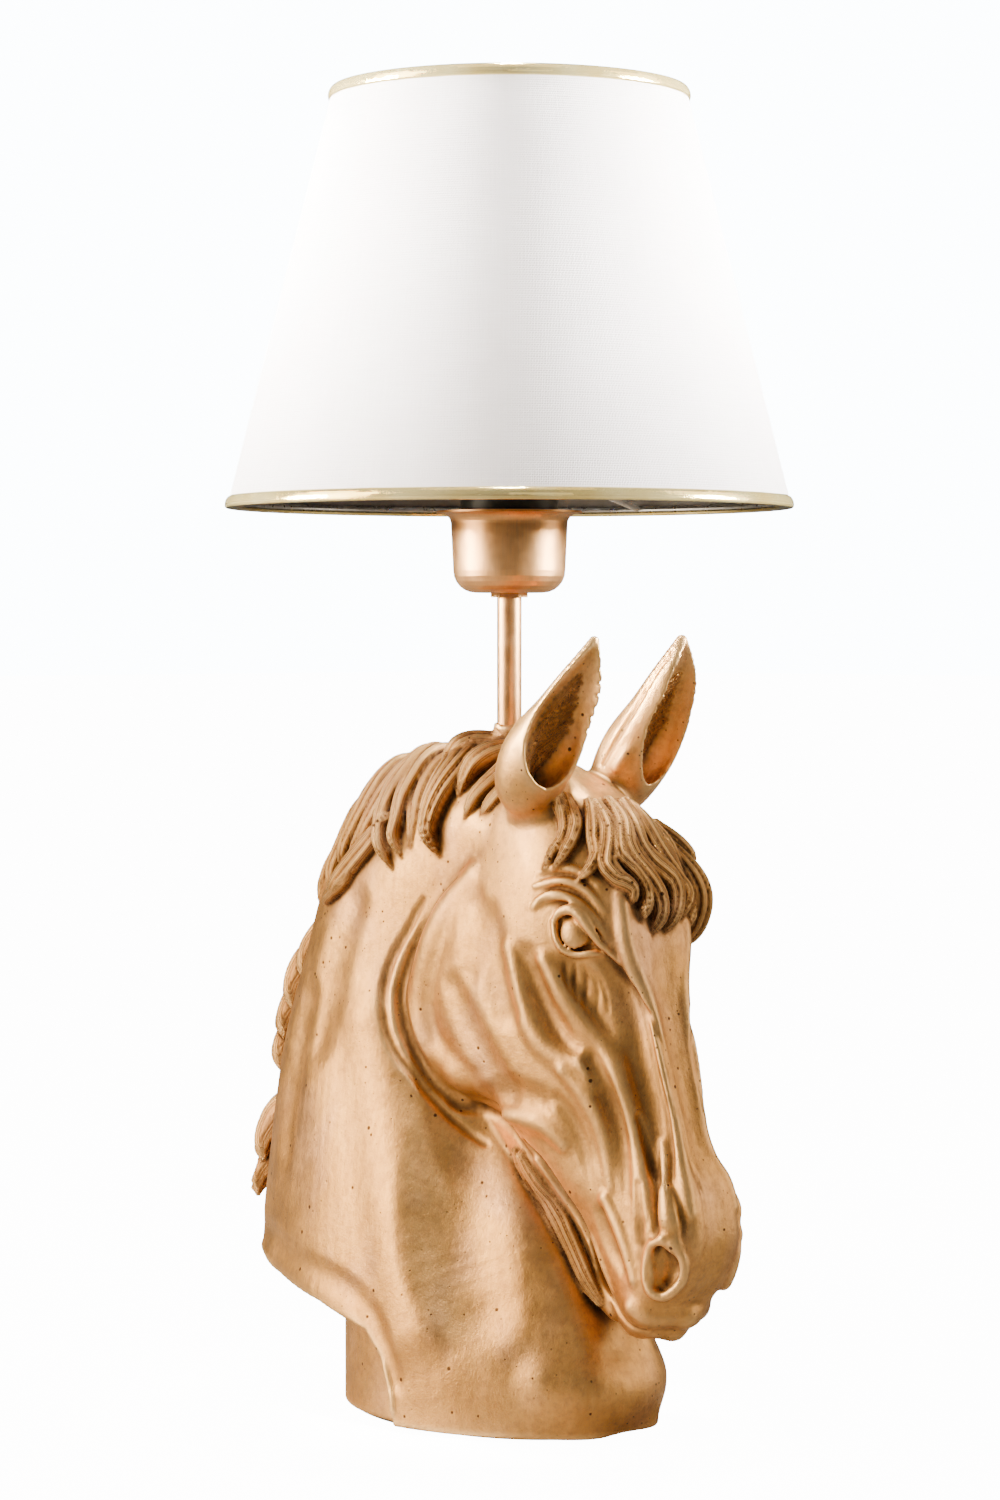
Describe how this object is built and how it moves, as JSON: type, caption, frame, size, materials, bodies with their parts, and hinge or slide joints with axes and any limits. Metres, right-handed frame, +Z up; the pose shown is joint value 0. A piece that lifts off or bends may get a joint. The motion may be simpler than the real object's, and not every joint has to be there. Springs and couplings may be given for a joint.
{
  "type": "table lamp",
  "caption": "Table lamp on a copper-gold horse-head bust, with a slim metal stem, a metal cup, a screw-in lamp and a tapered off-white fabric shade with gold trims.",
  "frame": {"origin": "on the stem's axis, at the underside of the felt pad that the lamp stands on", "axes": "+Z up along the stem; the horse looks along -Y, with its right side towards -X"},
  "size_m": [0.2297, 0.2629, 0.537],
  "materials": {
    "copper_cast": "cast resin and stone powder, satin copper-gold paint with a brown patina in the recesses",
    "copper_metal": "satin copper-gold paint on steel",
    "board": "fibreboard, raw",
    "felt": "black felt",
    "black_rubber": "matt black",
    "steel": "zinc plated",
    "brass": "plain brass",
    "black_plastic": "black phenolic moulding",
    "white_ceramic": "glazed white",
    "white_metal": "white powder coat",
    "white_plastic": "white lampshade backing sheet",
    "linen": "fine off-white woven cotton",
    "gold_trim": "metallised gold, glossy",
    "plated_steel": "nickel plated",
    "lamp_white": "white",
    "aluminium": "bare",
    "opal": "opal white"
  },
  "bodies": {
    "lamp_base": {"horse_bust": "copper_cast", "base_board": "board", "felt_pad": "felt", "lead_bush": "black_rubber", "stem_washer": "steel", "stem_nut": "brass", "stem_tube": "copper_metal", "cup_lock_nut": "copper_metal", "holder_cup": "copper_metal", "holder_cap": "black_plastic", "holder_grub_screw": "steel", "holder_insert": "white_ceramic", "terminal_blocks": "brass", "terminal_screws": "steel", "centre_contact": "brass", "side_contact": "brass", "screw_shell": "brass", "holder_skirt": "black_plastic"},
    "lower_ring": {"lower_ring": "black_plastic"},
    "shade": {"shade_fitter": "white_metal", "shade_bottom_wire": "white_metal", "shade_top_wire": "white_metal", "shade_backing": "white_plastic", "shade_fabric": "linen", "trim_bottom": "gold_trim", "trim_top": "gold_trim"},
    "shade_ring": {"shade_ring": "black_plastic"},
    "lamp": {"lamp_cap": "plated_steel", "lamp_insulator": "black_plastic", "lamp_tip": "plated_steel", "lamp_housing": "lamp_white", "lamp_board": "aluminium", "lamp_diffuser": "opal"}
  },
  "joints": [
    {"name": "shade_turn", "type": "hinge", "parent": "lamp_base", "child": "shade", "pos_m": [0, 0, 0.3846], "axis": [0, 0, 1], "continuous": true},
    {"name": "shade_ring_turn", "type": "hinge", "parent": "lamp_base", "child": "shade_ring", "pos_m": [0, 0, 0.389], "axis": [0, 0, 1], "range_deg": [0, 720]},
    {"name": "lower_ring_turn", "type": "hinge", "parent": "lamp_base", "child": "lower_ring", "pos_m": [0, 0, 0.38], "axis": [0, 0, 1], "range_deg": [-360, 720]},
    {"name": "lamp_turn", "type": "hinge", "parent": "lamp_base", "child": "lamp", "pos_m": [0, 0, 0.38], "axis": [0, 0, 1], "range_deg": [0, 900]}
  ]
}
